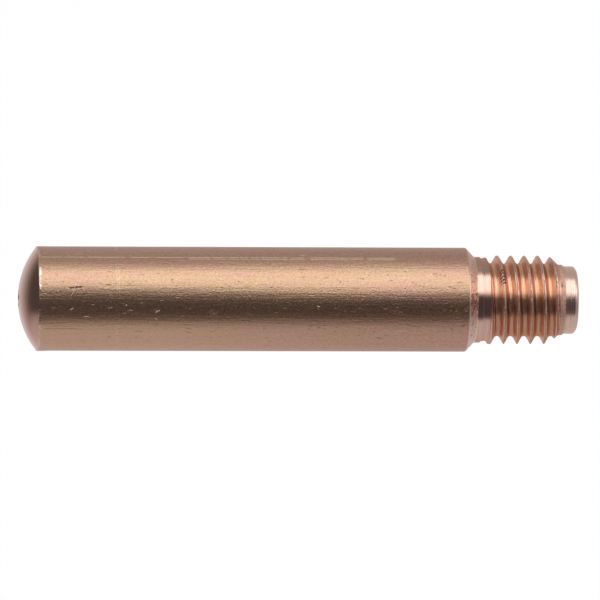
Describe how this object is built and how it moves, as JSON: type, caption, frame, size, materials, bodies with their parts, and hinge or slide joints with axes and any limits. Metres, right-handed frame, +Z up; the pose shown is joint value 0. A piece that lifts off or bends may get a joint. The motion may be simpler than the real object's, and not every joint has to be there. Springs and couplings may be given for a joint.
{
  "type": "welding contact tip",
  "caption": "Copper contact tip for a wire welding torch: domed nose, plain drawn barrel, conical shoulder, right-hand thread, pilot and a through bore for the wire.",
  "frame": {"origin": "centre of the flat threaded end that the tip stands on", "axes": "+Z up along the bore to the nose; X and Y are free but for the start of the thread"},
  "size_m": [0.008, 0.008, 0.0429],
  "materials": {
    "copper": "drawn skin on the barrel, turned nose and shank, cut thread"
  },
  "bodies": {
    "root": {"contact_tip": "copper"}
  },
  "joints": []
}
